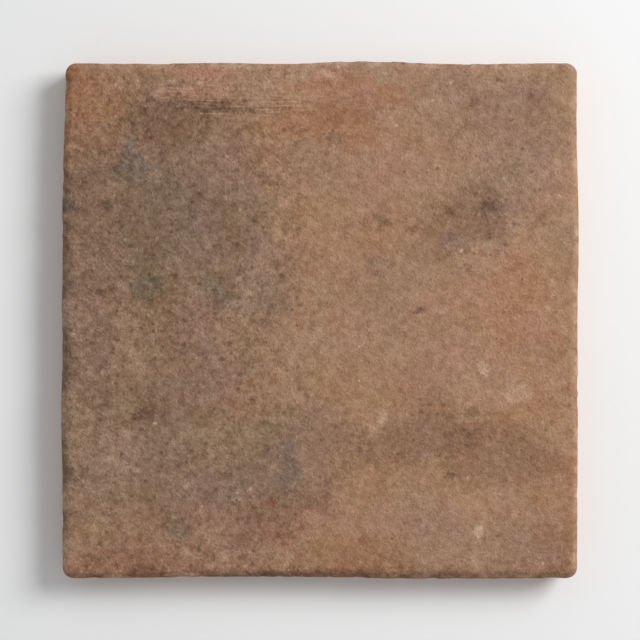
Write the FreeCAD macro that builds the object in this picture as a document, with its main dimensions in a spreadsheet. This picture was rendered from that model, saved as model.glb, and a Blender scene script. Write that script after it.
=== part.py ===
"""Terracotta floor tile: one slab of pressed and fired clay with a hand-made edge.

The tile lies on its keyed back with the wear face up. Seen from above, X runs to the right and Y to
the top of the face. The origin is the middle of the underside. All sizes are in millimetres.
"""
import FreeCAD
import Part
import Sketcher
import math
import os
from enum import IntEnum

# The driving dimensions: name, value, what it is.
SIZES = (
    ("tile_length", 150.0, "widest reach along X"),
    ("tile_width", 150.0, "widest reach along Y"),
    ("tile_thickness", 12.0, "from the ribs of the back to the wear face"),
    ("wave_depth", 1.2, "how far the hand-made edge wanders in from its widest reach"),
    ("foot_inset", 0.4, "how much further in the straight foot stands, so that the mould lets go"),
    ("corner_radius", 3.2, "upright corners"),
    ("arris_radius", 2.4, "round-over from the sides to the wear face"),
    ("upright_band", 1.6, "how far the sides stay upright below the round arris"),
    ("foot_chamfer", 0.6, "break of the lower edge all round"),
    ("rim_width", 8.0, "least width of the plain rim round the keyed field of the back"),
    ("pocket_side", 18.0, "one square key pocket, across its mouth"),
    ("pocket_depth", 1.2, "how deep the key pockets are pressed"),
    ("pocket_radius", 2.5, "corners of a key pocket at its mouth"),
    ("pocket_lean", 25.0, "lean of the pocket walls in degrees, so that the punch comes away"),
    ("rib_width", 4.0, "rib between two key pockets"),
)

# The four sides anticlockwise: the axis that each one faces along, and which way.
FACING = {"south": ("y", -1), "east": ("x", 1), "north": ("y", 1), "west": ("x", -1)}
TILE_REACH = {"x": "tile_length", "y": "tile_width"}
POCKET_REACH = {"x": "pocket_side", "y": "pocket_side"}

# The crests and hollows of the hand-made edge, anticlockwise. Each is how far along its side it lies
# and which share of wave_depth it stands in from the widest reach. No two neighbours stand equally
# far in.
EDGE_WAVES = {
    "south": ((0.0, 0.12), (0.37, 0.50), (0.76, 0.0), (1.0, 0.16)),
    "east": ((0.0, 0.38), (0.35, 0.22), (0.48, 0.30), (0.68, 0.0), (0.90, 0.50), (1.0, 0.46)),
    "north": ((0.0, 0.46), (0.20, 0.71), (0.42, 0.0), (0.58, 0.66),
              (0.71, 0.40), (0.90, 0.62), (1.0, 0.48)),
    "west": ((0.0, 1.0), (0.30, 0.22), (0.38, 0.34), (0.47, 0.17),
             (0.56, 0.28), (0.68, 0.0), (0.86, 0.27), (1.0, 0.34)),
}

UP = FreeCAD.Vector(0, 0, 1)
QUARTER_TURN = math.pi / 2

# Two places nearer than this are the same.
SAME_PLACE = 1e-4


class Point(IntEnum):
    """Sketcher's numbers for the points of a piece of geometry."""
    START = 1
    END = 2
    CENTRE = 3


# Sketcher's name for a sketch's own origin.
ORIGIN = (-1, Point.START)


class Length:
    """A sum of shares of the driving sizes, both as an expression and as a number."""

    def __init__(self, **shares):
        self.shares = shares

    def __add__(self, other):
        names = {**self.shares, **other.shares}
        return Length(**{name: self.shares.get(name, 0) + other.shares.get(name, 0) for name in names})

    def __sub__(self, other):
        return self + other * -1

    def __mul__(self, factor):
        return Length(**{name: share * factor for name, share in self.shares.items()})

    def expression(self):
        """The sum as the sketches' constraints take it."""
        return " + ".join(f"({share:.6f}) * Sizes.{name}" for name, share in self.shares.items())

    def value(self, sheet):
        """What the sum comes to in millimetres."""
        return sum(share * getattr(sheet, name) for name, share in self.shares.items())


CORNER = Length(corner_radius=1)
FACE_LEVEL = Length(tile_thickness=1)
BAND_HEIGHT = Length(arris_radius=1, upright_band=1)
FOOT_INSET = Length(wave_depth=1, foot_inset=1)
FOOT_BREAK = Length(foot_chamfer=1)
KEY_PITCH = Length(pocket_side=1, rib_width=1)


def sizes_sheet(doc):
    """Writes the driving dimensions into a spreadsheet, one row and one alias each."""
    sheet = doc.addObject("Spreadsheet::Sheet", "Sizes")
    for row, (name, value, meaning) in enumerate(SIZES, start=1):
        sheet.set(f"A{row}", name)
        sheet.set(f"B{row}", str(value))
        sheet.set(f"C{row}", meaning)
        sheet.setAlias(f"B{row}", name)
    doc.recompute()


def origin_feature(body, role):
    """One of the body's own origin planes or axes."""
    return next(feature for feature in body.Origin.OriginFeatures if feature.Role == role)


def level_sketch(body, name, **offsets):
    """An empty sketch on the plane of the underside, moved along x, y or z by expressions."""
    sketch = body.newObject("Sketcher::SketchObject", name)
    sketch.AttachmentSupport = [(origin_feature(body, "XY_Plane"), "")]
    sketch.MapMode = "FlatFace"
    for axis, expression in offsets.items():
        sketch.setExpression(f"AttachmentOffset.Base.{axis}", expression)
    return sketch


def bind(sketch, name, constraint, expression):
    """Adds a constraint with a name, whose size follows an expression."""
    index = sketch.addConstraint(constraint)
    sketch.renameConstraint(index, name)
    sketch.setExpression(f"Constraints.{name}", expression)


def tie(sketch, name, geometry, end, point):
    """Ties one point of the sketch to its origin by a distance along x and one along y."""
    sheet = sketch.Document.Sizes
    for axis, kind in (("x", "DistanceX"), ("y", "DistanceY")):
        constraint = Sketcher.Constraint(kind, *ORIGIN, geometry, end, point[axis].value(sheet))
        bind(sketch, f"{name}_{axis}", constraint, point[axis].expression())


def place(sketch, point):
    """Where a point of two lengths lies with the sheet's sizes."""
    sheet = sketch.Document.Sizes
    return FreeCAD.Vector(point["x"].value(sheet), point["y"].value(sheet), 0)


def stand(side, reach, inset):
    """The coordinate of a point of a side, along the axis that the side faces."""
    axis, sign = FACING[side]
    return (Length(**{reach[axis]: 0.5}) - inset) * sign


def bend(first, last, rest, facing):
    """An arc from one place to another that leaves the resting one along its side."""
    other = last if rest is first else first
    across = other - rest
    radius = across.Length ** 2 / (2 * getattr(across, facing))
    centre = FreeCAD.Vector(rest)
    setattr(centre, facing, getattr(rest, facing) + radius)
    towards = (first - centre).normalize() + (last - centre).normalize()
    return Part.Arc(first, centre + towards.normalize() * abs(radius), last)


def ends(sketch, geometry, first):
    """The geometry's ends in drawing order. An arc counts its own anticlockwise."""
    if sketch.getPoint(geometry, Point.START).isEqual(first, SAME_PLACE):
        return Point.START, Point.END
    return Point.END, Point.START


def draw_side(sketch, side, points, curved):
    """Draws a side through its points. Gives each stretch's number and its ends in drawing order.

    A curved side rests at every other point, where it runs along the side, and bends in between.
    """
    facing, _ = FACING[side]
    square = "Vertical" if facing == "y" else "Horizontal"
    places = [place(sketch, point) for point in points]
    stretches = []
    for number, (first, last) in enumerate(zip(places, places[1:])):
        rest = last if number % 2 else first
        shape = bend(first, last, rest, facing) if curved else Part.LineSegment(first, last)
        geometry = sketch.addGeometry(shape, False)
        start, end = ends(sketch, geometry, first)
        tie(sketch, f"{side}_{number}", geometry, start, points[number])
        if curved:
            resting_end = start if rest is first else end
            sketch.addConstraint(Sketcher.Constraint(square, geometry, Point.CENTRE, geometry, resting_end))
        stretches.append((geometry, start, end))
    tie(sketch, f"{side}_end", geometry, end, points[-1])
    return stretches


def draw_outline(sketch, reach, sides, rounding, curved=False):
    """Draws four sides anticlockwise and rounds each corner with a quarter of a circle.

    reach names the sizes that the outline spans at its widest along x and y. sides holds each side's
    points: how far along it each lies and how far in from the reach. rounding is the corners' radius.
    """
    order = list(FACING)
    radius = rounding.value(sketch.Document.Sizes)
    chain = []
    for turn, side in enumerate(order):
        previous, following = order[turn - 1], order[(turn + 1) % len(order)]
        facing, sign = FACING[side]
        along, ahead = FACING[following]
        first = stand(previous, reach, sides[previous][-1][1]) + rounding * ahead
        last = stand(following, reach, sides[following][0][1]) - rounding * ahead
        points = [{facing: stand(side, reach, inset), along: first * (1 - share) + last * share}
                  for share, inset in sides[side]]
        chain += draw_side(sketch, side, points, curved)
        centre = {facing: points[-1][facing] - rounding * sign, along: last}
        circle = Part.Circle(place(sketch, centre), UP, radius)
        corner = Part.ArcOfCircle(circle, (turn - 1) * QUARTER_TURN, turn * QUARTER_TURN)
        arc = sketch.addGeometry(corner, False)
        bind(sketch, f"{side}_corner", Sketcher.Constraint("Radius", arc, radius), rounding.expression())
        chain.append((arc, Point.START, Point.END))
    for (geometry, _, end), (following, start, _) in zip(chain, chain[1:] + chain[:1]):
        sketch.addConstraint(Sketcher.Constraint("Coincident", geometry, end, following, start))


def with_midpoints(points):
    """A side's points, with one more halfway between each two."""
    halfway = [((share + further) / 2, (inset + next_inset) / 2)
               for (share, inset), (further, next_inset) in zip(points, points[1:])]
    return sorted([*points, *halfway])


def straight_sides(inset, stops):
    """Four straight sides that stand equally far in, each with points at its own stops."""
    return {side: [(stop, inset) for stop in stops[side]] for side in FACING}


def slab_features(body):
    """The slab: an upright band with the hand-made edge, on sides that lean in to a straight foot."""
    waves = {side: with_midpoints(points) for side, points in EDGE_WAVES.items()}
    wavy_sides = {side: [(stop, Length(wave_depth=share)) for stop, share in points]
                  for side, points in waves.items()}
    stops = {side: [stop for stop, _ in points] for side, points in waves.items()}
    edge = level_sketch(body, "HandMadeEdge", z=(FACE_LEVEL - BAND_HEIGHT).expression())
    draw_outline(edge, TILE_REACH, wavy_sides, CORNER, curved=True)
    foot = level_sketch(body, "Foot", z=FOOT_BREAK.expression())
    draw_outline(foot, TILE_REACH, straight_sides(FOOT_INSET, stops), CORNER)
    underside = level_sketch(body, "Underside")
    draw_outline(underside, TILE_REACH, straight_sides(FOOT_INSET + FOOT_BREAK, stops), CORNER - FOOT_BREAK)
    band = body.newObject("PartDesign::Pad", "UprightBand")
    band.Profile = edge
    band.setExpression("Length", BAND_HEIGHT.expression())
    sides = body.newObject("PartDesign::AdditiveLoft", "LeaningSides")
    sides.Profile = edge
    sides.Sections = [foot, underside]
    sides.Ruled = True
    body.Document.recompute()
    return sides


def round_arris(body, slab):
    """Rounds the loop where the upright band meets the wear face."""
    face_level = FACE_LEVEL.value(body.Document.Sizes)
    loop = [f"Edge{number}" for number, edge in enumerate(slab.Shape.Edges, start=1)
            if edge.BoundBox.ZMin > face_level - SAME_PLACE]
    arris = body.newObject("PartDesign::Fillet", "RoundArris")
    arris.Base = (slab, loop)
    arris.setExpression("Radius", "Sizes.arris_radius")
    body.Document.recompute()
    return arris


def key_count(span):
    """The expression for how many key pockets fit along a span of the tile between its plain rims."""
    field = Length(**{span: 1, "rim_width": -2, "rib_width": 1}) - FOOT_INSET * 2
    return f"floor(({field.expression()}) / ({KEY_PITCH.expression()}))"


def key_start(span):
    """The expression for the middle of the first key pocket of a centred row."""
    return f"({KEY_PITCH.expression()}) * (1 - {key_count(span)}) / 2"


def key_pocket(body):
    """The first of the shallow pockets that the bedding mortar keys into, open at the underside."""
    mouth = level_sketch(body, "KeyPocketMouth", x=key_start("tile_length"), y=key_start("tile_width"))
    flush_sides = straight_sides(Length(), {side: (0, 1) for side in FACING})
    draw_outline(mouth, POCKET_REACH, flush_sides, Length(pocket_radius=1))
    pocket = body.newObject("PartDesign::Pocket", "KeyPocket")
    pocket.Profile = mouth
    pocket.Reversed = True
    pocket.setExpression("Length", "Sizes.pocket_depth")
    pocket.setExpression("TaperAngle", "-1 * Sizes.pocket_lean")
    body.Document.recompute()
    return pocket


def key_line(body, name, axis, span):
    """One way of repeating the key pocket, along an axis."""
    line = body.newObject("PartDesign::LinearPattern", name)
    line.Direction = (origin_feature(body, axis), [""])
    line.Mode = "Spacing"
    line.setExpression("Offset", KEY_PITCH.expression())
    line.setExpression("Occurrences", key_count(span))
    return line


def key_grid(body, pocket):
    """Repeats the key pocket along the rows and the columns of the back."""
    grid = body.newObject("PartDesign::MultiTransform", "KeyGrid")
    grid.Originals = [pocket]
    grid.Transformations = [key_line(body, "KeyRow", "X_Axis", "tile_length"),
                            key_line(body, "KeyColumn", "Y_Axis", "tile_width")]
    body.Tip = grid
    body.Document.recompute()


def floor_tile(doc):
    """The whole tile: slab, round arris and keyed back."""
    body = doc.addObject("PartDesign::Body", "FloorTile")
    body.Label = "floor_tile"
    arris = round_arris(body, slab_features(body))
    pocket = key_pocket(body)
    if pocket.Shape.Volume >= arris.Shape.Volume:
        raise RuntimeError("the key pocket cuts nothing")
    key_grid(body, pocket)
    return body


def check_document(doc):
    """Stops if any object of the document failed to build or a sketch is left loose."""
    for item in doc.Objects:
        if "Invalid" in item.State or "Error" in item.State:
            raise RuntimeError(f"{item.Label} failed: {item.State}")
        if item.TypeId == "Sketcher::SketchObject" and not item.FullyConstrained:
            raise RuntimeError(f"{item.Label} isn't fully constrained")


def export(piece):
    """Writes a piece's solid to its own STEP file."""
    shape = piece.Shape
    if shape.isNull() or not shape.isValid() or len(shape.Solids) != 1:
        raise RuntimeError(f"{piece.Label} isn't one valid solid")
    shape.exportStep(f"parts/{piece.Label}.step")
    box = shape.BoundBox
    print(f"{piece.Label}: {box.XLength:.2f} x {box.YLength:.2f} x {box.ZLength:.2f} mm, "
          f"volume {shape.Volume:.0f} cubic mm, {len(shape.Faces)} faces")


doc = FreeCAD.newDocument("TerracottaFloorTile")
sizes_sheet(doc)
tile = floor_tile(doc)
doc.recompute()
check_document(doc)
os.makedirs("parts", exist_ok=True)
export(tile)
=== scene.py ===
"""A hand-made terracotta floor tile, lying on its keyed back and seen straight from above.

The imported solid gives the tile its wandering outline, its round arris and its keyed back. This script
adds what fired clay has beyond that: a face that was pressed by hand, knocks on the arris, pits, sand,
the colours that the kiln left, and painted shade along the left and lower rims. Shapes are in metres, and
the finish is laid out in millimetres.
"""
import logging
import math
import random
from collections.abc import Iterator
from contextlib import contextmanager
from dataclasses import dataclass
from enum import Enum

import bpy
import numpy as np
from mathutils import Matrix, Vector


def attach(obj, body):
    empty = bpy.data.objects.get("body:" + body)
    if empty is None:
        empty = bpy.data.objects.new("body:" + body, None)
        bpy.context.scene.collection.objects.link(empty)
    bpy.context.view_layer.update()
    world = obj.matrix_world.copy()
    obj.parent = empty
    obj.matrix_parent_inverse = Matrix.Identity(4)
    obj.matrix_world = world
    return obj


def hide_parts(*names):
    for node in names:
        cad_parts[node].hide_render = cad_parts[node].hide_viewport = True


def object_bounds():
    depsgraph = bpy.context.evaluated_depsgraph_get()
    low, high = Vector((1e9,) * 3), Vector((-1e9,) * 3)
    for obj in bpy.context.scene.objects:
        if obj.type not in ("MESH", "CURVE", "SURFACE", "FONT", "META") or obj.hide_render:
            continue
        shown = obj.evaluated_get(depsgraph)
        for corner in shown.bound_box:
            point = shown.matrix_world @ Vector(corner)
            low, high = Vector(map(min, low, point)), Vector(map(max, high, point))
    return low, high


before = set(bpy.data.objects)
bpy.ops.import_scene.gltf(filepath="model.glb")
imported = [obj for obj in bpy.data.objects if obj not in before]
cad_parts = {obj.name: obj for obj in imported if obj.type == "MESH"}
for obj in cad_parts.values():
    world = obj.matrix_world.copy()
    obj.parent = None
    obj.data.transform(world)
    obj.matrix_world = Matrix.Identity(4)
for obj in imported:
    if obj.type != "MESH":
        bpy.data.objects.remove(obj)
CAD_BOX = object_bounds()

LOG = logging.getLogger("floor_tile")

MM = 0.001
PER_METRE = 1000.0
BRIGHTEST = 255
DISPLAY_GAMMA = 2.2
PHOTO_SIDE = 640
NUMBER_SOCKET = "NodeSocketFloat"
VECTOR_SOCKET = "NodeSocketVector"
MIX_SHARE, MIX_UNDER, MIX_OVER, MIX_RESULT = 0, 6, 7, 2
# What a noise wavers about, and what makes a place flat.
MIDDLE = 0.5
HALF = (MIDDLE,) * 3
LEVEL = (1.0, 1.0, 0.0)
UP = (0.0, 0.0, 1.0)

Colour = tuple[float, float, float, float]
Triple = tuple[float, float, float]
Span = tuple[float, float]
Hollow = tuple[Triple, float, float]
Socket = bpy.types.NodeSocket
Value = float | tuple[float, ...] | Socket


class Clay(Enum):
    """The tones of the fired clay, as red, green and blue from 0 to 255."""

    TAN = (163, 127, 102)
    OCHRE = (165, 127, 99)
    APRICOT = (169, 126, 97)
    ROSE = (169, 130, 111)
    BLUSH = (178, 126, 105)
    RUST = (158, 108, 76)
    EMBER = (172, 117, 88)
    BRICK = (143, 95, 74)
    UMBER = (122, 91, 71)
    COFFEE = (92, 70, 57)
    SMOKE = (117, 98, 83)
    SLATE = (90, 87, 85)
    OLIVE = (110, 98, 78)
    MAUVE = (137, 114, 109)
    BUFF = (203, 172, 146)
    CHALK = (224, 203, 180)
    RAW = (181, 133, 103)
    DUSTY = (196, 162, 136)

    @property
    def shown(self) -> Colour:
        """The tone as it is displayed, each part from 0 to 1."""
        red, green, blue = (part / BRIGHTEST for part in self.value)
        return red, green, blue, 1.0


def select_only(piece: bpy.types.Object) -> None:
    """Deselects everything, then selects one object and makes it active."""
    bpy.ops.object.select_all(action="DESELECT")
    piece.select_set(True)
    bpy.context.view_layer.objects.active = piece


@contextmanager
def editing(piece: bpy.types.Object) -> Iterator[None]:
    """Opens a piece in edit mode with all of it selected, and closes it again."""
    select_only(piece)
    bpy.ops.object.mode_set(mode="EDIT")
    bpy.ops.mesh.select_all(action="SELECT")
    yield
    bpy.ops.object.mode_set(mode="OBJECT")


def report(piece: bpy.types.Object) -> None:
    """Logs a piece's name, its size in millimetres and its triangles."""
    size = " x ".join(f"{side * PER_METRE:.1f}" for side in piece.dimensions)
    piece.data.calc_loop_triangles()
    LOG.info("%s: %s mm, %d triangles", piece.name, size, len(piece.data.loop_triangles))


def rows_of(source: bpy.types.bpy_prop_collection, name: str) -> np.ndarray:
    """Reads a vector from each point of a mesh, one row each."""
    numbers = np.empty(len(source) * 3, np.float32)
    source.foreach_get(name, numbers)
    return numbers.reshape(-1, 3)


def rise(values: np.ndarray, span: Span) -> np.ndarray:
    """Turns values into shares: 0 up to the span's start, 1 from its end."""
    start, end = span
    return np.clip((values - start) / (end - start), 0.0, 1.0)


def soften(shares: np.ndarray) -> np.ndarray:
    """Lets shares from 0 to 1 start and end gently, on the curve called smoothstep."""
    return shares * shares * (3.0 - 2.0 * shares)


@dataclass(frozen=True)
class Cloud:
    """A cloudy pattern: its size in the place's own unit, its finer sizes and their strength."""

    size: float
    detail: float
    roughness: float = 0.5


class Wiring:
    """A node tree that is being wired, with one method for each kind of step."""

    def __init__(self, tree: bpy.types.NodeTree) -> None:
        """Takes the tree to wire."""
        self.tree = tree

    def step(
        self, kind: str, inputs: dict[str | int, Value], output: str | int = 0, **settings: object
    ) -> Socket:
        """Adds a node.

        Args:
            kind: Blender's name for the node.
            inputs: what each input takes, a fixed value or another node's socket.
            output: which output is wanted.
            settings: the node's own options.

        Returns:
            The wanted output.
        """
        node = self.tree.nodes.new(kind)
        for name, value in settings.items():
            setattr(node, name, value)
        for name, value in inputs.items():
            self.feed(node.inputs[name], value)
        return node.outputs[output]

    def feed(self, socket: Socket, value: Value) -> None:
        """Links a socket into an input, or sets the input's own value."""
        if isinstance(value, Socket):
            self.tree.links.new(value, socket)
        else:
            socket.default_value = value

    def math(self, operation: str, first: Value, second: Value = 0.0) -> Socket:
        """Does a sum with one or two values."""
        return self.step("ShaderNodeMath", {0: first, 1: second}, operation=operation)

    def total(self, *values: Value) -> Socket:
        """Adds two values or more."""
        first, *others = values
        for other in others:
            first = self.math("ADD", first, other)
        return first

    def product(self, *values: Value) -> Socket:
        """Multiplies two values or more."""
        first, *others = values
        for other in others:
            first = self.math("MULTIPLY", first, other)
        return first

    def vector(self, operation: str, first: Value, second: Value) -> Socket:
        """Does a sum with two vectors."""
        return self.step("ShaderNodeVectorMath", {0: first, 1: second}, operation=operation)

    def dot(self, first: Value, second: Value) -> Socket:
        """Multiplies two vectors part by part and adds the results up."""
        return self.step("ShaderNodeVectorMath", {0: first, 1: second}, "Value", operation="DOT_PRODUCT")

    def ramp(self, value: Value, start: Value, end: Value) -> Socket:
        """Rises softly from 0 at the start to 1 at the end, whichever of them is the larger."""
        inputs = {"Value": value, "From Min": start, "From Max": end}
        return self.step("ShaderNodeMapRange", inputs, interpolation_type="SMOOTHSTEP")

    def mix(self, share: Value, under: Value, over: Value) -> Socket:
        """Lays one colour over another, by a share from 0 to 1."""
        inputs = {MIX_SHARE: share, MIX_UNDER: under, MIX_OVER: over}
        return self.step("ShaderNodeMix", inputs, MIX_RESULT, data_type="RGBA")

    def noise(self, place: Value, cloud: Cloud, output: str | int = 0) -> Socket:
        """Gives a cloudy value, or with the output Color a cloudy colour, of about 0.5."""
        inputs = {
            "Vector": place, "Scale": 1.0 / cloud.size, "Detail": cloud.detail, "Roughness": cloud.roughness,
        }
        return self.step("ShaderNodeTexNoise", inputs, output)

    def parts(self, vector: Value) -> bpy.types.bpy_prop_collection:
        """Parts a vector into X, Y and Z."""
        node = self.tree.nodes.new("ShaderNodeSeparateXYZ")
        self.feed(node.inputs[0], vector)
        return node.outputs

    def use(self, group: bpy.types.NodeTree, label: str, inputs: dict[str, Value]) -> Socket:
        """Places a node group under a label, with its own values, and gives its result."""
        node = self.tree.nodes.new("ShaderNodeGroup")
        node.node_tree = group
        node.label = label
        for name, value in inputs.items():
            self.feed(node.inputs[name], value)
        return node.outputs[0]


@dataclass(frozen=True)
class Effect:
    """The name, the inputs and the one output of a shader node group."""

    name: str
    inputs: dict[str, str]
    output: str

    def open(self) -> tuple[Wiring, dict[str, Socket], Socket]:
        """Makes the empty group.

        Returns:
            The group's wiring, its inputs by name and the socket that takes its result.
        """
        tree = bpy.data.node_groups.new(self.name, "ShaderNodeTree")
        for name, kind in self.inputs.items():
            tree.interface.new_socket(name, in_out="INPUT", socket_type=kind)
        tree.interface.new_socket(self.output, in_out="OUTPUT", socket_type=NUMBER_SOCKET)
        entry = tree.nodes.new("NodeGroupInput")
        given = {name: entry.outputs[name] for name in self.inputs}
        return Wiring(tree), given, tree.nodes.new("NodeGroupOutput").inputs[0]


@dataclass
class Effects:
    """The shared effects of the clay, each built once: mottling, soft marks, specks and streaks."""

    mottle_roughness: float = 0.95
    mottle_gain: float = 7.0
    broken_edge: Span = (0.2, 0.95)
    held_edge: Span = (0.0, 0.3)
    smallest_speck: float = 0.4
    speck_edge: Span = (1.3, 0.4)
    streak_cloud: Cloud = Cloud(1.0, 3.0, 0.6)
    streak_edge: Span = (0.5, 0.72)

    def __post_init__(self) -> None:
        """Builds the four groups."""
        self.mottle = self.build_mottle()
        self.mark = self.build_mark()
        self.specks = self.build_specks()
        self.streaks = self.build_streaks()

    def build_mottle(self) -> bpy.types.NodeTree:
        """Mottling that is about as strong at every size, from the largest blotch down to grains.

        Returns:
            A group that gives Mottle, from about -1 to 1, for the size of the largest blotch.
        """
        inputs = {"Place": VECTOR_SOCKET, "Size": NUMBER_SOCKET, "Detail": NUMBER_SOCKET}
        wires, given, result = Effect("mottle", inputs, "Mottle").open()
        clouding = {
            "Vector": given["Place"], "Scale": wires.math("DIVIDE", 1.0, given["Size"]),
            "Detail": given["Detail"], "Roughness": self.mottle_roughness,
        }
        clouds = wires.step("ShaderNodeTexNoise", clouding)
        wires.feed(result, wires.product(wires.math("SUBTRACT", clouds, MIDDLE), self.mottle_gain))
        return wires.tree

    def build_mark(self) -> bpy.types.NodeTree:
        """A round or long mark whose edge breaks up in the mottling.

        Returns:
            A group that gives Mask, 1 within the mark, for a flat place and the mark's two axes.
        """
        inputs = {
            "Place": VECTOR_SOCKET, "Along": VECTOR_SOCKET, "Across": VECTOR_SOCKET, "Inner": NUMBER_SOCKET,
            "Outer": NUMBER_SOCKET, "Break-up": NUMBER_SOCKET,
        }
        wires, given, result = Effect("soft_mark", inputs, "Mask").open()
        along = wires.dot(given["Place"], given["Along"])
        across = wires.dot(given["Place"], given["Across"])
        square = wires.total(wires.product(along, along), wires.product(across, across))
        soft = wires.ramp(wires.math("SQRT", square), given["Outer"], given["Inner"])
        broken = wires.ramp(wires.total(soft, given["Break-up"]), *self.broken_edge)
        wires.feed(result, wires.product(broken, wires.ramp(soft, *self.held_edge)))
        return wires.tree

    def build_specks(self) -> bpy.types.NodeTree:
        """Scattered specks of uneven size.

        Returns:
            A group that gives Mask, 1 within a speck.
        """
        inputs = {
            "Place": VECTOR_SOCKET, "Spacing": NUMBER_SOCKET, "Size": NUMBER_SOCKET, "Share": NUMBER_SOCKET,
        }
        wires, given, result = Effect("specks", inputs, "Mask").open()
        cells = wires.tree.nodes.new("ShaderNodeTexVoronoi")
        wires.feed(cells.inputs["Vector"], given["Place"])
        wires.feed(cells.inputs["Scale"], wires.math("DIVIDE", 1.0, given["Spacing"]))
        chances = wires.parts(cells.outputs["Color"])
        reach = wires.product(given["Size"], wires.total(chances["Y"], self.smallest_speck))
        distance = wires.product(cells.outputs["Distance"], given["Spacing"])
        speck = wires.ramp(wires.math("DIVIDE", distance, reach), *self.speck_edge)
        wires.feed(result, wires.product(speck, wires.math("LESS_THAN", chances["X"], given["Share"])))
        return wires.tree

    def build_streaks(self) -> bpy.types.NodeTree:
        """Fine lines that a board or a mould draws in wet clay.

        Returns:
            A group that gives Mask, 1 on a line, for a vector that stretches the lines.
        """
        inputs = {"Place": VECTOR_SOCKET, "Stretch": VECTOR_SOCKET}
        wires, given, result = Effect("streaks", inputs, "Mask").open()
        drawn = wires.vector("DIVIDE", given["Place"], given["Stretch"])
        wires.feed(result, wires.ramp(wires.noise(drawn, self.streak_cloud), *self.streak_edge))
        return wires.tree


@dataclass(frozen=True)
class Patch:
    """A round or long patch of the wear face. Centre and reach are in millimetres, turn in degrees."""

    name: str
    centre: Span
    reach: Span
    strength: float = 1.0
    turn: float = 0.0
    feather: float = 0.9

    def axes(self) -> tuple[Triple, ...]:
        """Gives the patch's long and its short axis.

        Returns:
            For each axis the vector whose dot product with a flat place, (x, y, 1), is the distance
            from the patch's centre, as a share of its reach.
        """
        east, north = self.centre
        lean = math.radians(self.turn)
        ways = ((math.cos(lean), math.sin(lean)), (-math.sin(lean), math.cos(lean)))
        return tuple(
            (x / reach, y / reach, -(x * east + y * north) / reach)
            for (x, y), reach in zip(ways, self.reach)
        )


@dataclass(frozen=True, kw_only=True)
class Mark(Patch):
    """A patch where kiln, smoke or clay left another tone."""

    tone: Clay


# The broad tones under everything else.
GROUND_MARKS = (
    Mark("ochre middle", (8, 2), (17, 34), 0.6, 8, tone=Clay.OCHRE),
    Mark("apricot right side", (60, 0), (14, 30), 0.65, tone=Clay.APRICOT),
    Mark("rose upper middle", (20, 42), (15, 10), 0.55, -20, tone=Clay.ROSE),
    Mark("rose upper right", (57, 40), (20, 15), 0.45, -10, tone=Clay.ROSE),
    Mark("rose lower right", (50, -16), (12, 9), 0.5, 10, tone=Clay.ROSE),
    Mark("dusky lower right", (30, -34), (22, 8), 0.34, 5, tone=Clay.UMBER),
    Mark("umber lower right", (52, -39), (20, 9), 0.3, -12, tone=Clay.UMBER),
    Mark("grey upper right corner", (50, 60), (24, 13), 0.22, -20, tone=Clay.MAUVE),
    Mark("dusky upper right corner", (57, 58), (14, 10), 0.17, -30, tone=Clay.SMOKE),
    Mark("brown upper middle", (0, 57), (24, 7), 0.4, -3, tone=Clay.RUST),
    Mark("ember band", (8, 66), (20, 4), 0.5, -2, tone=Clay.EMBER),
    Mark("warm foot", (6, -69), (20, 5), 0.2, tone=Clay.RUST),
    Mark("brick lower left", (-54, -71), (24, 6), 0.42, 2, tone=Clay.BRICK),
    Mark("brown foot", (24, -74), (54, 4), 0.3, tone=Clay.BRICK),
    Mark("rust upper left corner", (-66, 60), (11, 16), 0.48, 10, tone=Clay.RUST),
    Mark("light lower middle", (34, -60), (19, 8), 0.3, -8, tone=Clay.ROSE),
    Mark("brown below the tail", (-15, -61), (15, 9), 0.34, 6, tone=Clay.BRICK),
    Mark("brown right rim", (69, -48), (8, 24), 0.22, tone=Clay.RUST),
    Mark("dusky lower right corner", (65, -64), (14, 11), 0.18, tone=Clay.UMBER),
)

# Where smoke touched the tile in the kiln.
SMOKE_MARKS = (
    Mark("cloud, upper part", (-42, 31), (32, 36), 0.5, 10, tone=Clay.SMOKE),
    Mark("cloud, lower part", (-44, -36), (36, 34), 0.35, -8, tone=Clay.SMOKE),
    Mark("cloud, left rim", (-68, 6), (10, 46), 0.32, tone=Clay.SMOKE),
    Mark("cloud, tail", (-6, -40), (20, 16), 0.25, 20, tone=Clay.SMOKE),
    Mark("dark upper left", (-43, 56), (14, 7), 0.4, -12, tone=Clay.UMBER),
    Mark("slate patch", (-54, 45), (4.2, 6), 0.36, 10, tone=Clay.SLATE),
    Mark("olive patch", (-48, 28), (11, 13), 0.32, tone=Clay.OLIVE),
    Mark("dark middle left", (-49, 10), (14, 6), 0.3, 8, tone=Clay.UMBER),
    Mark("slate lower left of the middle", (-50, 12), (5, 4), 0.3, tone=Clay.SLATE),
    Mark("dark olive spot", (-31, 9), (5, 5), 0.45, tone=Clay.OLIVE),
    Mark("mauve spot", (-18, 22), (5, 6), 0.25, tone=Clay.MAUVE),
    Mark("green-grey spot", (-16, 5), (7, 8), 0.14, tone=Clay.OLIVE),
    Mark("blue-grey lower middle", (-10, -43), (4, 8), 0.32, 18, tone=Clay.SLATE),
    Mark("smudge lower middle", (-1, -53), (8, 4), 0.42, -12, tone=Clay.UMBER),
    Mark("mauve lower left", (-33, -50), (8, 6), 0.22, tone=Clay.MAUVE),
    Mark("umber lower left", (-52, -28), (11, 4), 0.38, 12, tone=Clay.UMBER),
    Mark("olive foot", (-41, -62), (4, 5), 0.4, tone=Clay.OLIVE),
    Mark("haze upper right", (51, 36), (17, 10), 0.23, 15, tone=Clay.OLIVE),
    Mark("smudge below the haze", (40, 28), (14, 8), 0.36, 22, tone=Clay.UMBER),
)
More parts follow.
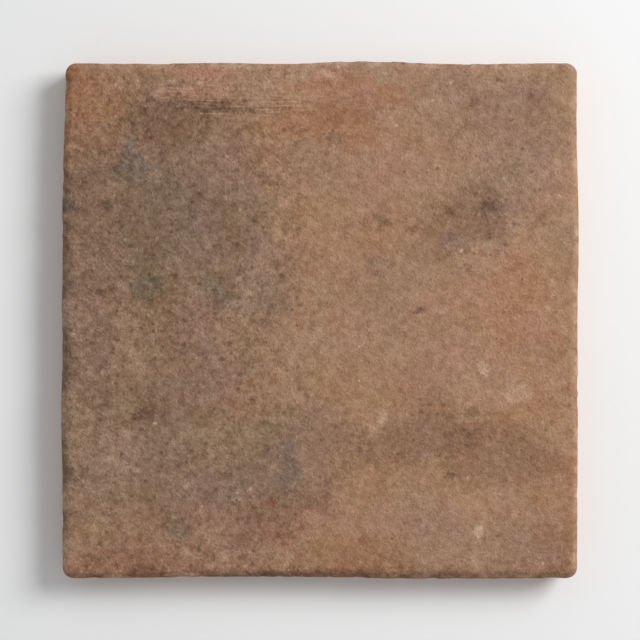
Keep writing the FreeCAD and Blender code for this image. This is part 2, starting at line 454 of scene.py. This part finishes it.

# Painted shade along the left and lower rims, where the arris falls away from the light; at the left rim
# partly soot as well.
PAINTED_RIM_SHADE = (
    Mark("shade along the left rim", (-75, -20), (4.4, 56), 0.25, tone=Clay.SLATE),
    Mark("shade along the lower rim", (0, -75.4), (84, 3.6), 0.46, tone=Clay.COFFEE),
    # Painted shade at the upper end of the left rim, partly soot.
    Mark("soot at the left rim", (-73, 33), (3.4, 3), 0.38, tone=Clay.SLATE),
)

# Single dark spots.
DARK_SPOTS = (
    Mark("darkest spot", (48.8, 32.6), (3.0, 2.1), 0.5, 15, tone=Clay.COFFEE),
    Mark("its neighbour", (37.8, 30.8), (3.0, 1.5), 0.36, -15, tone=Clay.COFFEE),
    Mark("mauve ring", (38.8, 22.6), (4.2, 3.2), 0.4, tone=Clay.MAUVE),
    Mark("small mauve ring", (17.1, 15.7), (3.8, 3.2), 0.32, tone=Clay.MAUVE),
    Mark("brown spot", (18.1, 28.9), (2.8, 1.5), 0.5, -8, tone=Clay.UMBER),
    Mark("red-brown spot", (27.4, 25.7), (3.0, 1.3), 0.45, -12, tone=Clay.BRICK),
    Mark("brown spot upper middle", (4.3, 52.4), (2.8, 1.8), 0.45, -20, tone=Clay.UMBER),
    Mark("brown line below the streaks", (-32, 61.6), (16, 1.8), 0.42, -2, tone=Clay.COFFEE),
    Mark("dark dot", (28.7, 2.8), (1.3, 1.3), 0.5, tone=Clay.COFFEE),
    Mark("umber dot", (42.4, 14.7), (1.5, 1.3), 0.5, tone=Clay.UMBER),
    Mark("coffee dot", (37.8, -44.9), (1.4, 1.6), 0.55, tone=Clay.COFFEE),
    Mark("brown fleck", (43.6, -26.4), (3.2, 1.3), 0.5, 6, tone=Clay.UMBER),
    Mark("foot dot", (12.9, -63.9), (1.6, 1.4), 0.5, tone=Clay.BRICK),
    Mark("corner dot", (60.5, 64.2), (1.7, 1.6), 0.55, tone=Clay.UMBER),
    Mark("second corner dot", (52.8, 69.5), (1.9, 1.1), 0.45, tone=Clay.UMBER),
    Mark("third corner dot", (44.0, 62.7), (1.3, 1.3), 0.45, tone=Clay.UMBER),
    Mark("dot in the smoke", (-64.0, 8.0), (1.3, 1.3), 0.45, tone=Clay.COFFEE),
    Mark("umber fleck in the smoke", (-51.0, -27.0), (4.0, 1.5), 0.4, 10, tone=Clay.COFFEE),
    Mark("red dot near the tail", (-14.0, -52.8), (1.8, 1.6), 0.5, tone=Clay.BRICK),
)

# Paler places: streaks, crusts and crumbs of lime.
PALE_SPOTS = (
    Mark("red streak", (-35, 71.4), (12, 2.2), 0.65, tone=Clay.BLUSH),
    Mark("second red streak", (-36, 65.8), (9, 1.6), 0.6, tone=Clay.BLUSH),
    Mark("crust on the right", (47.0, -13.8), (1.6, 2.1), 0.58, 25, tone=Clay.BUFF),
    Mark("crust near the right rim", (56.9, -21.2), (3.4, 3.6), 0.3, tone=Clay.BUFF),
    Mark("crust below the middle", (18.1, -27.0), (1.5, 2.8), 0.46, -15, tone=Clay.BUFF),
    Mark("crust lower right", (45.5, -60.8), (1.6, 2.1), 0.36, -20, tone=Clay.CHALK),
    Mark("sandy lower left", (-63, -36), (11, 11), 0.14, tone=Clay.BUFF),
    Mark("chalk dot left", (-47.6, -29.6), (0.7, 0.6), 0.6, tone=Clay.CHALK),
    Mark("chalk dot right", (40.9, 19.9), (0.7, 0.7), 0.6, tone=Clay.CHALK),
    Mark("chalk upper middle", (3.0, 71.0), (4.0, 1.2), 0.4, -25, tone=Clay.BUFF),
    Mark("buff lower left", (-24.0, -51.8), (2.2, 0.9), 0.4, 10, tone=Clay.BUFF),
)

# Where a board scratched the wet clay.
SCRATCHED_BAND = Mark(
    "scratches along the upper rim", (-20, 65), (28, 7), 0.6, feather=0.6, tone=Clay.BUFF,
)

# Where soot lies beyond the smoky side.
SOOTY_PATCHES = (
    Patch("soot upper right", (46, 29), (19, 15), turn=10),
    Patch("soot lower right", (32, -34), (26, 11)),
)


@dataclass(frozen=True)
class Specks:
    """Specks of one kind. Spacing and size are in millimetres, and share is how many of them show."""

    name: str
    spacing: float
    size: float
    share: float
    strength: float


@dataclass(frozen=True, kw_only=True)
class Grit(Specks):
    """Specks with a tone of their own."""

    tone: Clay


# Grit all over the tile.
GRITS = (
    Grit("iron specks", 3.4, 0.5, 0.25, 0.4, tone=Clay.COFFEE),
    Grit("brick grit", 4.1, 0.6, 0.25, 0.3, tone=Clay.BRICK),
    Grit("crumbs of lime", 5.3, 0.45, 0.16, 0.5, tone=Clay.CHALK),
    Grit("grains of sand", 2.3, 0.35, 0.2, 0.35, tone=Clay.BUFF),
)

# What lies where smoke was.
SOOT = (
    Grit("specks of soot", 2.2, 0.64, 0.5, 0.42, tone=Clay.COFFEE),
    Grit("pale grains in the soot", 3.0, 0.58, 0.34, 0.36, tone=Clay.BUFF),
)

# Pinholes go into the relief alone.
PINHOLES = Specks("pinholes", 2.6, 0.45, 0.35, 1.1)


@dataclass(frozen=True)
class FiredClay:
    """The values of the unglazed, smoke-marked finish. Sizes are in millimetres, strengths are shares."""

    name: str = "fired_clay"
    roughness: float = 0.88
    roughness_drift: float = 0.05
    specular: float = 0.25
    # How far the wet clay carried the marks.
    broad_wander: Cloud = Cloud(18.2, 4.0, 0.65)
    broad_depth: float = 24.0
    near_wander: Cloud = Cloud(3.33, 4.0, 0.65)
    near_depth: float = 3.4
    # The drift of the ground between its tones.
    ochre_cloud: Cloud = Cloud(35.7, 3.0)
    ochre_span: Span = (0.38, 0.62)
    rose_cloud: Cloud = Cloud(14.3, 5.0, 0.7)
    rose_span: Span = (0.44, 0.72)
    rose_strength: float = 0.5
    hue_cloud: Cloud = Cloud(16.7, 1.5)
    hue_strength: float = 0.04
    # Mottling, from the largest to the finest, and the angles that it is turned by.
    mottle_turn: Triple = (0.7, 0.5, 0.6)
    blotch_size: float = 12.0
    blotch_strength: float = 0.017
    grain_size: float = 2.3
    grain_strength: float = 0.041
    mottle_detail: float = 2.0
    sand_size: float = 0.6
    sand_strength: float = 0.004
    sand_detail: float = 1.0
    # The smoke leaves its half of the tile grainier.
    smoky_side: Span = (15.0, -25.0)
    smoky_strength: float = 0.01
    # How strongly mottling breaks up the edges of marks and of spots.
    mark_break: float = -0.06
    spot_break: float = -0.18
    # Lines that boards drew: along the upper rim, and down the sides.
    scratch_stretch: Triple = (9.0, 0.55, 1.0)
    drag_stretch: Triple = (0.9, 0.9, 7.0)
    drag_strength: float = 0.3
    # Wear on the arris.
    worn_slope: Span = (0.99, 0.8)
    worn_height: Span = (8.4, 10.2)
    worn_patches: Span = (-0.4, 0.7)
    worn_strength: float = 0.4
    # Bare clay on the sides and the back, and the sand that stayed in the keys.
    bare_cloud: Cloud = Cloud(11.1, 4.0, 0.6)
    bare_span: Span = (0.4, 0.66)
    bare_height: Span = (10.4, 7.4)
    bare_wander: float = 0.8
    upright: Span = (0.6, 0.3)
    back_slope: Span = (-0.4, -0.9)
    key_height: Span = (0.4, 1.1)
    key_patches: Span = (-0.7, 0.9)
    key_sand_strength: float = 0.45
    # Relief too fine for the mesh, in metres.
    relief_share: float = 0.3
    bump_height: float = 0.12 * MM


class ClayCoat:
    """The finish of the tile while it is laid, one coat over the other.

    Tones are mixed as they are displayed, and turned into shares of light at the end.
    """

    def __init__(self, finish: FiredClay, effects: Effects) -> None:
        """Starts the material.

        Args:
            finish: the finish's values.
            effects: the shared node groups.
        """
        self.finish = finish
        self.effects = effects
        self.colour = Clay.TAN.shown
        self.material = bpy.data.materials.new(finish.name)
        self.material.use_nodes = True
        self.wires = Wiring(self.material.node_tree)
        self.lay_out()

    def lay_out(self) -> None:
        """Makes what the coats read: places, the way the surface faces, the smoky side and mottling.

        The mottling is turned, because its cells would otherwise line up with the tile's sides.
        """
        wires = self.wires
        finish = self.finish
        self.facing = wires.parts(wires.step("ShaderNodeTexCoord", {}, "Normal"))["Z"]
        points = wires.step("ShaderNodeTexCoord", {}, "Object")
        self.place = wires.vector("MULTIPLY", points, (PER_METRE,) * 3)
        self.height = wires.parts(self.place)["Z"]
        self.broad = self.warp(finish.broad_wander, finish.broad_depth)
        self.near = self.warp(finish.near_wander, finish.near_depth)
        turning = {"Vector": self.place, "Rotation": finish.mottle_turn}
        self.turned = wires.step("ShaderNodeMapping", turning)
        self.smoky = wires.ramp(wires.parts(self.broad)["X"], *finish.smoky_side)
        self.blotch = self.mottle("blotches", finish.blotch_size, finish.mottle_detail)
        self.grain = self.mottle("grain", finish.grain_size, finish.mottle_detail)
        self.sand = self.mottle("sand", finish.sand_size, finish.sand_detail)

    def warp(self, wander: Cloud, depth: float) -> Socket:
        """Gives the place warped by up to about half the depth, and flat: X, Y and 1."""
        wires = self.wires
        ways = wires.vector("SUBTRACT", wires.noise(self.place, wander, "Color"), HALF)
        moved = wires.vector("ADD", self.place, wires.vector("MULTIPLY", ways, (depth,) * 3))
        return wires.vector("ADD", wires.vector("MULTIPLY", moved, LEVEL), UP)

    def mottle(self, label: str, size: float, detail: float) -> Socket:
        """Gives the mottling of a size, from about -1 to 1."""
        inputs = {"Place": self.turned, "Size": size, "Detail": detail}
        return self.wires.use(self.effects.mottle, label, inputs)

    def lay_over(self, tone: Clay, share: Value) -> None:
        """Lays a tone over the colour so far."""
        self.colour = self.wires.mix(share, self.colour, tone.shown)

    def lay_ground(self) -> None:
        """The clay's own drift between tan, ochre and rose."""
        wires = self.wires
        finish = self.finish
        drift = wires.ramp(wires.noise(self.place, finish.ochre_cloud), *finish.ochre_span)
        self.lay_over(Clay.OCHRE, drift)
        rosy = wires.ramp(wires.noise(self.broad, finish.rose_cloud), *finish.rose_span)
        self.lay_over(Clay.ROSE, wires.product(rosy, finish.rose_strength))

    def drift_hue(self) -> None:
        """Lets the hue drift a little towards red, green and blue in turn."""
        wires = self.wires
        clouds = wires.noise(self.place, self.finish.hue_cloud, "Color")
        ways = wires.vector("SUBTRACT", clouds, HALF)
        shift = wires.vector("MULTIPLY", ways, (self.finish.hue_strength,) * 3)
        self.colour = wires.vector("ADD", self.colour, shift)

    def mask(self, patch: Patch, place: Value, break_up: Value = 0.0) -> Socket:
        """Gives the mask of a patch: its strength inside, 0 outside."""
        along, across = patch.axes()
        inputs = {
            "Place": place, "Along": along, "Across": across, "Inner": 1.0 - patch.feather,
            "Outer": 1.0 + patch.feather, "Break-up": break_up,
        }
        return self.wires.product(self.wires.use(self.effects.mark, patch.name, inputs), patch.strength)

    def lay_marks(self, marks: tuple[Mark, ...], place: Value, break_up: Value) -> None:
        """Lays marks over the colour so far.

        Args:
            marks: the marks, the lowest first.
            place: the flat place that they are drawn on.
            break_up: what makes their edges uneven.
        """
        for mark in marks:
            self.lay_over(mark.tone, self.mask(mark, place, break_up))

    def lay_scratches(self) -> None:
        """Fine pale lines across the upper part of the face."""
        inputs = {"Place": self.place, "Stretch": self.finish.scratch_stretch}
        lines = self.wires.use(self.effects.streaks, "scratches", inputs)
        self.lay_over(SCRATCHED_BAND.tone, self.wires.product(lines, self.mask(SCRATCHED_BAND, self.near)))

    def lay_soot(self) -> None:
        """Single specks of soot and pale grains, on the smoky side and in places beyond it."""
        wires = self.wires
        sooty = wires.total(self.smoky, *(self.mask(patch, self.broad) for patch in SOOTY_PATCHES))
        for grit in SOOT:
            self.lay_over(grit.tone, wires.product(self.specks(grit), sooty))

    def wear_arris(self) -> None:
        """A rubbed, paler arris with broken edges."""
        wires = self.wires
        finish = self.finish
        bend = wires.ramp(self.facing, *finish.worn_slope)
        upper = wires.ramp(self.height, *finish.worn_height)
        rubbed = wires.ramp(self.blotch, *finish.worn_patches)
        self.lay_over(Clay.DUSTY, wires.product(bend, upper, rubbed, finish.worn_strength))

    def bare_sides(self) -> None:
        """The raw clay of the sides and the back, which no kiln smoke reached."""
        wires = self.wires
        finish = self.finish
        face = self.colour
        patches = wires.ramp(wires.noise(self.place, finish.bare_cloud), *finish.bare_span)
        self.colour = wires.mix(patches, Clay.RAW.shown, Clay.TAN.shown)
        inputs = {"Place": self.place, "Stretch": finish.drag_stretch}
        lines = wires.use(self.effects.streaks, "drag lines", inputs)
        upright = wires.ramp(wires.math("ABSOLUTE", self.facing), *finish.upright)
        self.lay_over(Clay.RUST, wires.product(lines, upright, finish.drag_strength))
        level = wires.total(self.height, wires.product(self.blotch, finish.bare_wander))
        self.colour = wires.mix(wires.ramp(level, *finish.bare_height), face, self.colour)

    def sand_keys(self) -> None:
        """The pale moulding sand that stayed in the keys of the back."""
        wires = self.wires
        finish = self.finish
        back = wires.ramp(self.facing, *finish.back_slope)
        deep = wires.ramp(self.height, *finish.key_height)
        patches = wires.ramp(self.grain, *finish.key_patches)
        self.lay_over(Clay.DUSTY, wires.product(back, deep, patches, finish.key_sand_strength))

    def specks(self, kind: Specks) -> Socket:
        """Gives the mask of one kind of specks: its strength inside, 0 outside."""
        inputs = {"Place": self.place, "Spacing": kind.spacing, "Size": kind.size, "Share": kind.share}
        return self.wires.product(self.wires.use(self.effects.specks, kind.name, inputs), kind.strength)

    def lay_grain(self) -> None:
        """Mottling and sand, strong in the smoky half and fainter in the clean one."""
        wires = self.wires
        finish = self.finish
        strength = wires.total(wires.product(self.smoky, finish.smoky_strength), finish.grain_strength)
        lighter = wires.total(
            wires.product(self.blotch, finish.blotch_strength), wires.product(self.grain, strength),
            wires.product(self.sand, finish.sand_strength),
        )
        grey = wires.step("ShaderNodeCombineXYZ", {0: lighter, 1: lighter, 2: lighter})
        self.colour = wires.vector("ADD", self.colour, grey)

    def relief(self) -> Socket:
        """The fine relief of sand and pinholes.

        Returns:
            The height, about 0 to 1, for the bump.
        """
        wires = self.wires
        sand = wires.product(wires.total(self.grain, self.sand), self.finish.relief_share)
        return wires.math("SUBTRACT", sand, self.specks(PINHOLES))

    def lay_coats(self) -> None:
        """Lays all coats, the lowest first."""
        wires = self.wires
        broken = wires.product(wires.total(self.blotch, self.grain), self.finish.mark_break)
        grainy = wires.product(self.grain, self.finish.spot_break)
        self.lay_ground()
        self.lay_marks(GROUND_MARKS + SMOKE_MARKS, self.broad, broken)
        self.drift_hue()
        # Painted shade along the left and lower rims, partly soot at the left rim.
        self.lay_marks(PAINTED_RIM_SHADE, self.near, broken)
        self.lay_marks(DARK_SPOTS, self.near, grainy)
        self.lay_marks(PALE_SPOTS, self.near, wires.product(grainy, -1.0))
        self.lay_scratches()
        self.lay_soot()
        self.wear_arris()
        self.bare_sides()
        self.sand_keys()
        for grit in GRITS:
            self.lay_over(grit.tone, self.specks(grit))
        self.lay_grain()

    def finished(self) -> bpy.types.Material:
        """Lays all coats and joins them to the surface.

        Returns:
            The material.
        """
        wires = self.wires
        finish = self.finish
        self.lay_coats()
        surface = wires.tree.nodes["Principled BSDF"]
        surface.inputs["Specular IOR Level"].default_value = finish.specular
        light = wires.step("ShaderNodeGamma", {"Color": self.colour, "Gamma": DISPLAY_GAMMA})
        wires.feed(surface.inputs["Base Color"], light)
        drift = wires.product(self.sand, finish.roughness_drift)
        wires.feed(surface.inputs["Roughness"], wires.total(drift, finish.roughness))
        bumps = {"Height": self.relief(), "Distance": finish.bump_height}
        wires.feed(surface.inputs["Normal"], wires.step("ShaderNodeBump", bumps, "Normal"))
        return self.material


class Push(Enum):
    """The ways in which the clay of the mesh is moved, by Blender's names."""

    DOWN = "Z"
    INWARDS = "NORMAL"


@dataclass(frozen=True)
class Press:
    """Clay that gives way in clouds. Sizes are in metres."""

    name: str
    way: Push
    cloud_size: float
    depth: float


@dataclass(frozen=True)
class Dents:
    """How many small hollows of one kind there are, and how wide and deep they may be, in metres.

    The seed settles where they lie.
    """

    name: str
    way: Push
    count: int
    seed: int
    radii: Span
    depths: Span


@dataclass
class FloorTile:
    """The tile: a copy of the solid whose clay is then pressed, knocked and pitted. Sizes are in metres."""

    node: str = "floor_tile"
    name: str = "tile_slab"
    body: str = "root"
    slot: str = "fired_clay"
    merge_distance: float = 0.001 * MM
    cell: float = 0.42 * MM
    triangles: int = 185000
    narrowest: float = 0.04 * MM
    weight_steps: int = 200
    # How far clouds stay below the surface, in depths, because thinning lifts some points.
    give: float = 0.15
    swell: Press = Press("swell", Push.DOWN, 34 * MM, 0.45 * MM)
    ripple: Press = Press("ripple", Push.DOWN, 7 * MM, 0.12 * MM)
    rough_sides: Press = Press("rough_sides", Push.INWARDS, 2.4 * MM, 0.16 * MM)
    rough_back: Press = Press("rough_back", Push.INWARDS, 3.2 * MM, 0.12 * MM)
    cloud_contrast: float = 1.5
    knocks: Dents = Dents("knocks", Push.INWARDS, 46, 12, (1.0 * MM, 3.2 * MM), (0.15 * MM, 0.55 * MM))
    side_pits: Dents = Dents("side_pits", Push.INWARDS, 80, 13, (0.5 * MM, 1.3 * MM), (0.1 * MM, 0.3 * MM))
    face_pits: Dents = Dents("face_pits", Push.DOWN, 110, 14, (0.7 * MM, 1.7 * MM), (0.1 * MM, 0.35 * MM))
    spot_pit_depth: float = 0.22 * MM
    # Where each press works: how level the clay is there, and between which heights and reaches.
    level: Span = (0.2, 0.8)
    upper: Span = (8 * MM, 11 * MM)
    rim: Span = (66 * MM, 72 * MM)
    foot: Span = (0.0, 1.5 * MM)
    arris_heights: Span = (10.8 * MM, 11.0 * MM)
    side_heights: Span = (2.0 * MM, 9.0 * MM)
    # Where hollows lie: how far below the box, how far in from its sides, and how near points count.
    face_drop: float = 0.25 * MM
    margin: float = 5 * MM
    near: float = 0.6 * MM

    def __post_init__(self) -> None:
        """Copies the solid."""
        self.piece = self.copy_slab()

    def build(self) -> None:
        """Makes the tile's shape out of the copy."""
        self.even_out()
        self.press_face()
        self.roughen()
        self.knock_arris()
        self.pit_sides()
        self.pit_face()
        self.thin_out()
        self.clear_slivers()
        bpy.ops.object.shade_smooth()

    def copy_slab(self) -> bpy.types.Object:
        """Copies the solid's mesh and joins its loose triangles.

        Returns:
            The copy, with its place in its mesh.
        """
        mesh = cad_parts[self.node].data.copy()
        mesh.materials.clear()
        piece = bpy.data.objects.new(self.name, mesh)
        bpy.context.scene.collection.objects.link(piece)
        with editing(piece):
            bpy.ops.mesh.remove_doubles(threshold=self.merge_distance)
            bpy.ops.mesh.normals_make_consistent(inside=False)
        return piece

    def even_out(self) -> None:
        """Turns the mesh into small even cells that can be pressed."""
        evener = self.piece.modifiers.new("even_cells", "REMESH")
        evener.mode = "VOXEL"
        evener.voxel_size = self.cell
        self.apply(evener)

    def apply(self, modifier: bpy.types.Modifier) -> None:
        """Applies a modifier of the tile."""
        select_only(self.piece)
        bpy.ops.object.modifier_apply(modifier=modifier.name)

    def points(self) -> np.ndarray:
        """The mesh's points, one row each."""
        return rows_of(self.piece.data.vertices, "co")

    def slopes(self) -> np.ndarray:
        """How far up the mesh faces at each point, from -1 to 1."""
        return rows_of(self.piece.data.vertex_normals, "vector")[:, 2]

    def weigh(self, name: str, weights: np.ndarray) -> bpy.types.VertexGroup:
        """Writes a share for each point into a new vertex group."""
        group = self.piece.vertex_groups.new(name=name)
        steps = np.rint(np.clip(weights, 0.0, 1.0) * self.weight_steps).astype(int)
        for step in np.unique(steps[steps > 0]):
            group.add(np.flatnonzero(steps == step).tolist(), step / self.weight_steps, "REPLACE")
        return group

    def push(self, press: Press, weights: np.ndarray) -> None:
        """Presses the clay in where it is weighted.

        Args:
            press: which way, how far, and the size of the clouds, or 0 for an even press.
            weights: a share for each point of the mesh.
        """
        group = self.weigh(press.name, weights)
        pusher = self.piece.modifiers.new(press.name, "DISPLACE")
        pusher.direction = press.way.value
        pusher.vertex_group = group.name
        pusher.strength = press.depth
        # Clouds give 0 to 1 and an even press gives 1. All of it lies under the middle level, so it goes in.
        pusher.mid_level = 1.0 + (self.give if press.cloud_size else 1.0)
        if press.cloud_size:
            pusher.texture = self.clouds(press)
            pusher.texture_coords = "LOCAL"
        self.apply(pusher)
        self.piece.vertex_groups.remove(self.piece.vertex_groups[press.name])

    def clouds(self, press: Press) -> bpy.types.Texture:
        """The cloud pattern of a press."""
        texture = bpy.data.textures.new(press.name, "CLOUDS")
        texture.noise_scale = press.cloud_size
        texture.contrast = self.cloud_contrast
        return texture

    def press_face(self) -> None:
        """Gives the wear face the soft swell and ripple of clay that was pressed by hand."""
        weights = rise(self.slopes(), self.level) * rise(self.points()[:, 2], self.upper)
        self.push(self.swell, weights)
        self.push(self.ripple, weights)

    def roughen(self) -> None:
        """Roughens the sides and the arris, as clay from a sanded mould, and the back a little."""
        points = self.points()
        outer = rise(np.abs(points[:, :2]).max(axis=1), self.rim)
        self.push(self.rough_sides, outer * rise(points[:, 2], self.foot))
        self.push(self.rough_back, rise(-self.slopes(), self.level))

    def rim_places(self, dents: Dents, heights: Span, chance: random.Random) -> list[Triple]:
        """Finds random places around the tile.

        Args:
            dents: what they are for, which says how many there are.
            heights: the lowest and the highest that they may be.
            chance: the random source.

        Returns:
            The places, each on the outermost point of the mesh there.
        """
        points = self.points()
        reach = CAD_BOX[1].x - self.margin
        places = []
        for _ in range(dents.count):
            height = chance.uniform(*heights)
            axis = chance.randrange(2)
            way = chance.choice((-1, 1))
            along = chance.uniform(-reach, reach)
            beside = np.abs(points[:, 1 - axis] - along) < self.near
            close = points[beside & (np.abs(points[:, 2] - height) < self.near)]
            places.append(tuple(close[np.argmax(close[:, axis] * way)].tolist()))
        return places

    def dent(self, dents: Dents, hollows: list[Hollow]) -> None:
        """Presses small round hollows, all at once.

        Args:
            dents: what they are called and which way the clay goes.
            hollows: the centre, the radius and the depth of each.
        """
        points = self.points()
        depths = np.zeros(len(points))
        for centre, radius, depth in hollows:
            near = np.flatnonzero(np.abs(points - centre).max(axis=1) < radius)
            share = rise(-np.linalg.norm(points[near] - centre, axis=1), (-radius, 0.0))
            depths[near] = np.maximum(depths[near], depth * soften(share))
        deepest = max(depth for _, _, depth in hollows)
        self.push(Press(dents.name, dents.way, 0.0, deepest), depths / deepest)

    def scatter(self, dents: Dents, places: list[Triple], chance: random.Random) -> None:
        """Presses a hollow of a random size at each place."""
        hollows = [(place, chance.uniform(*dents.radii), chance.uniform(*dents.depths)) for place in places]
        self.dent(dents, hollows)

    def scatter_round(self, dents: Dents, heights: Span) -> None:
        """Presses hollows at random places around the tile, between two heights."""
        chance = random.Random(dents.seed)
        self.scatter(dents, self.rim_places(dents, heights, chance), chance)

    def knock_arris(self) -> None:
        """Knocks small hollows into the arris."""
        self.scatter_round(self.knocks, self.arris_heights)

    def pit_sides(self) -> None:
        """Leaves pits in the sides, where crumbs fell out of the clay."""
        self.scatter_round(self.side_pits, self.side_heights)

    def pit_face(self) -> None:
        """Leaves pits in the wear face, among them those of the dark spots."""
        chance = random.Random(self.face_pits.seed)
        reach = CAD_BOX[1].x - self.margin
        level = CAD_BOX[1].z - self.face_drop
        places = [
            (chance.uniform(-reach, reach), chance.uniform(-reach, reach), level)
            for _ in range(self.face_pits.count)
        ]
        self.scatter(self.face_pits, places, chance)
        spots = [
            ((spot.centre[0] * MM, spot.centre[1] * MM, level), min(spot.reach) * MM, self.spot_pit_depth)
            for spot in DARK_SPOTS if spot.tone is Clay.COFFEE
        ]
        self.dent(self.face_pits, spots)

    def thin_out(self) -> None:
        """Leaves out the triangles that flat stretches don't need."""
        self.piece.data.calc_loop_triangles()
        thinner = self.piece.modifiers.new("thinner", "DECIMATE")
        thinner.ratio = min(1.0, self.triangles / len(self.piece.data.loop_triangles))
        self.apply(thinner)

    def clear_slivers(self) -> None:
        """Closes up the triangles that thinning left too narrow."""
        with editing(self.piece):
            bpy.ops.mesh.dissolve_degenerate(threshold=self.narrowest)
            bpy.ops.mesh.quads_convert_to_tris()

    def dress(self, finish: bpy.types.Material) -> None:
        self.piece.data.materials.append(finish)
        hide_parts(self.node)
        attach(self.piece, self.body)
        report(self.piece)


@dataclass
class Studio:
    """A plain pale floor under soft light from the upper right. Sizes are in metres."""

    floor_side: float = 6.0
    floor_steps: int = 8
    floor_tone: Colour = (0.94, 0.94, 0.935, 1.0)
    floor_shade: Colour = (0.926, 0.926, 0.921, 1.0)
    floor_cloud: Cloud = Cloud(0.07, 3.0)
    floor_roughness: float = 0.95
    floor_specular: float = 0.1
    sky_tone: Colour = (0.97, 0.985, 1.0, 1.0)
    sky_strength: float = 0.42
    key_place: Triple = (0.75, 0.42, 0.72)
    key_side: float = 0.55
    key_power: float = 9.8
    aim: Triple = (0.0, 0.0, 0.006)

    def lay_floor(self) -> bpy.types.Object:
        """Lays the floor at the level that the tile stands on.

        Returns:
            The floor.
        """
        bpy.ops.object.select_all(action="DESELECT")
        steps = self.floor_steps
        bpy.ops.mesh.primitive_grid_add(x_subdivisions=steps, y_subdivisions=steps, size=self.floor_side)
        floor = bpy.context.active_object
        floor.name = "studio_floor"
        paint = bpy.data.materials.new("studio_paint")
        paint.use_nodes = True
        wires = Wiring(paint.node_tree)
        surface = wires.tree.nodes["Principled BSDF"]
        cloudy = wires.noise(wires.step("ShaderNodeTexCoord", {}, "Object"), self.floor_cloud)
        wires.feed(surface.inputs["Base Color"], wires.mix(cloudy, self.floor_tone, self.floor_shade))
        surface.inputs["Roughness"].default_value = self.floor_roughness
        surface.inputs["Specular IOR Level"].default_value = self.floor_specular
        floor.data.materials.append(paint)
        return floor

    def light(self) -> None:
        """Hangs one large lamp to the upper right and lights the rest from all round."""
        lamp = bpy.data.lights.new("key_lamp", "AREA")
        lamp.shape = "SQUARE"
        lamp.size = self.key_side
        lamp.energy = self.key_power
        holder = bpy.data.objects.new("key_lamp", lamp)
        bpy.context.scene.collection.objects.link(holder)
        holder.location = self.key_place
        ray = Vector(self.aim) - Vector(self.key_place)
        holder.rotation_euler = ray.to_track_quat("-Z", "Y").to_euler()
        world = bpy.data.worlds.new("studio_sky")
        bpy.context.scene.world = world
        world.use_nodes = True
        sky = world.node_tree.nodes["Background"]
        sky.inputs["Color"].default_value = self.sky_tone
        sky.inputs["Strength"].default_value = self.sky_strength
        bpy.context.scene.view_settings.view_transform = "Standard"


@dataclass
class OverheadCamera:
    """A camera with a long lens that looks straight down on the tile."""

    lens: float = 135.0
    sensor: float = 36.0
    # How wide the tile shows in a picture of PHOTO_SIDE pixels.
    tile_pixels: float = 520.0

    def place(self) -> bpy.types.Object:
        """Hangs the camera so high that the tile spans its share of the picture.

        Returns:
            The camera.
        """
        view = bpy.data.cameras.new("overhead_camera")
        view.lens = self.lens
        view.sensor_width = self.sensor
        lowest, highest = CAD_BOX
        picture_width = (highest.x - lowest.x) * PHOTO_SIDE / self.tile_pixels
        camera = bpy.data.objects.new("overhead_camera", view)
        bpy.context.scene.collection.objects.link(camera)
        middle = (lowest + highest) / 2
        camera.location = (middle.x, middle.y, highest.z + picture_width * self.lens / self.sensor)
        bpy.context.scene.camera = camera
        return camera


def main() -> None:
    """Builds the tile and the studio, in order, and reports each piece."""
    logging.basicConfig(level=logging.INFO, format="%(name)s: %(message)s")
    OverheadCamera().place()
    tile = FloorTile()
    tile.build()
    tile.dress(ClayCoat(FiredClay(), Effects()).finished())
    studio = Studio()
    report(studio.lay_floor())
    studio.light()


if __name__ == "__main__":
    main()
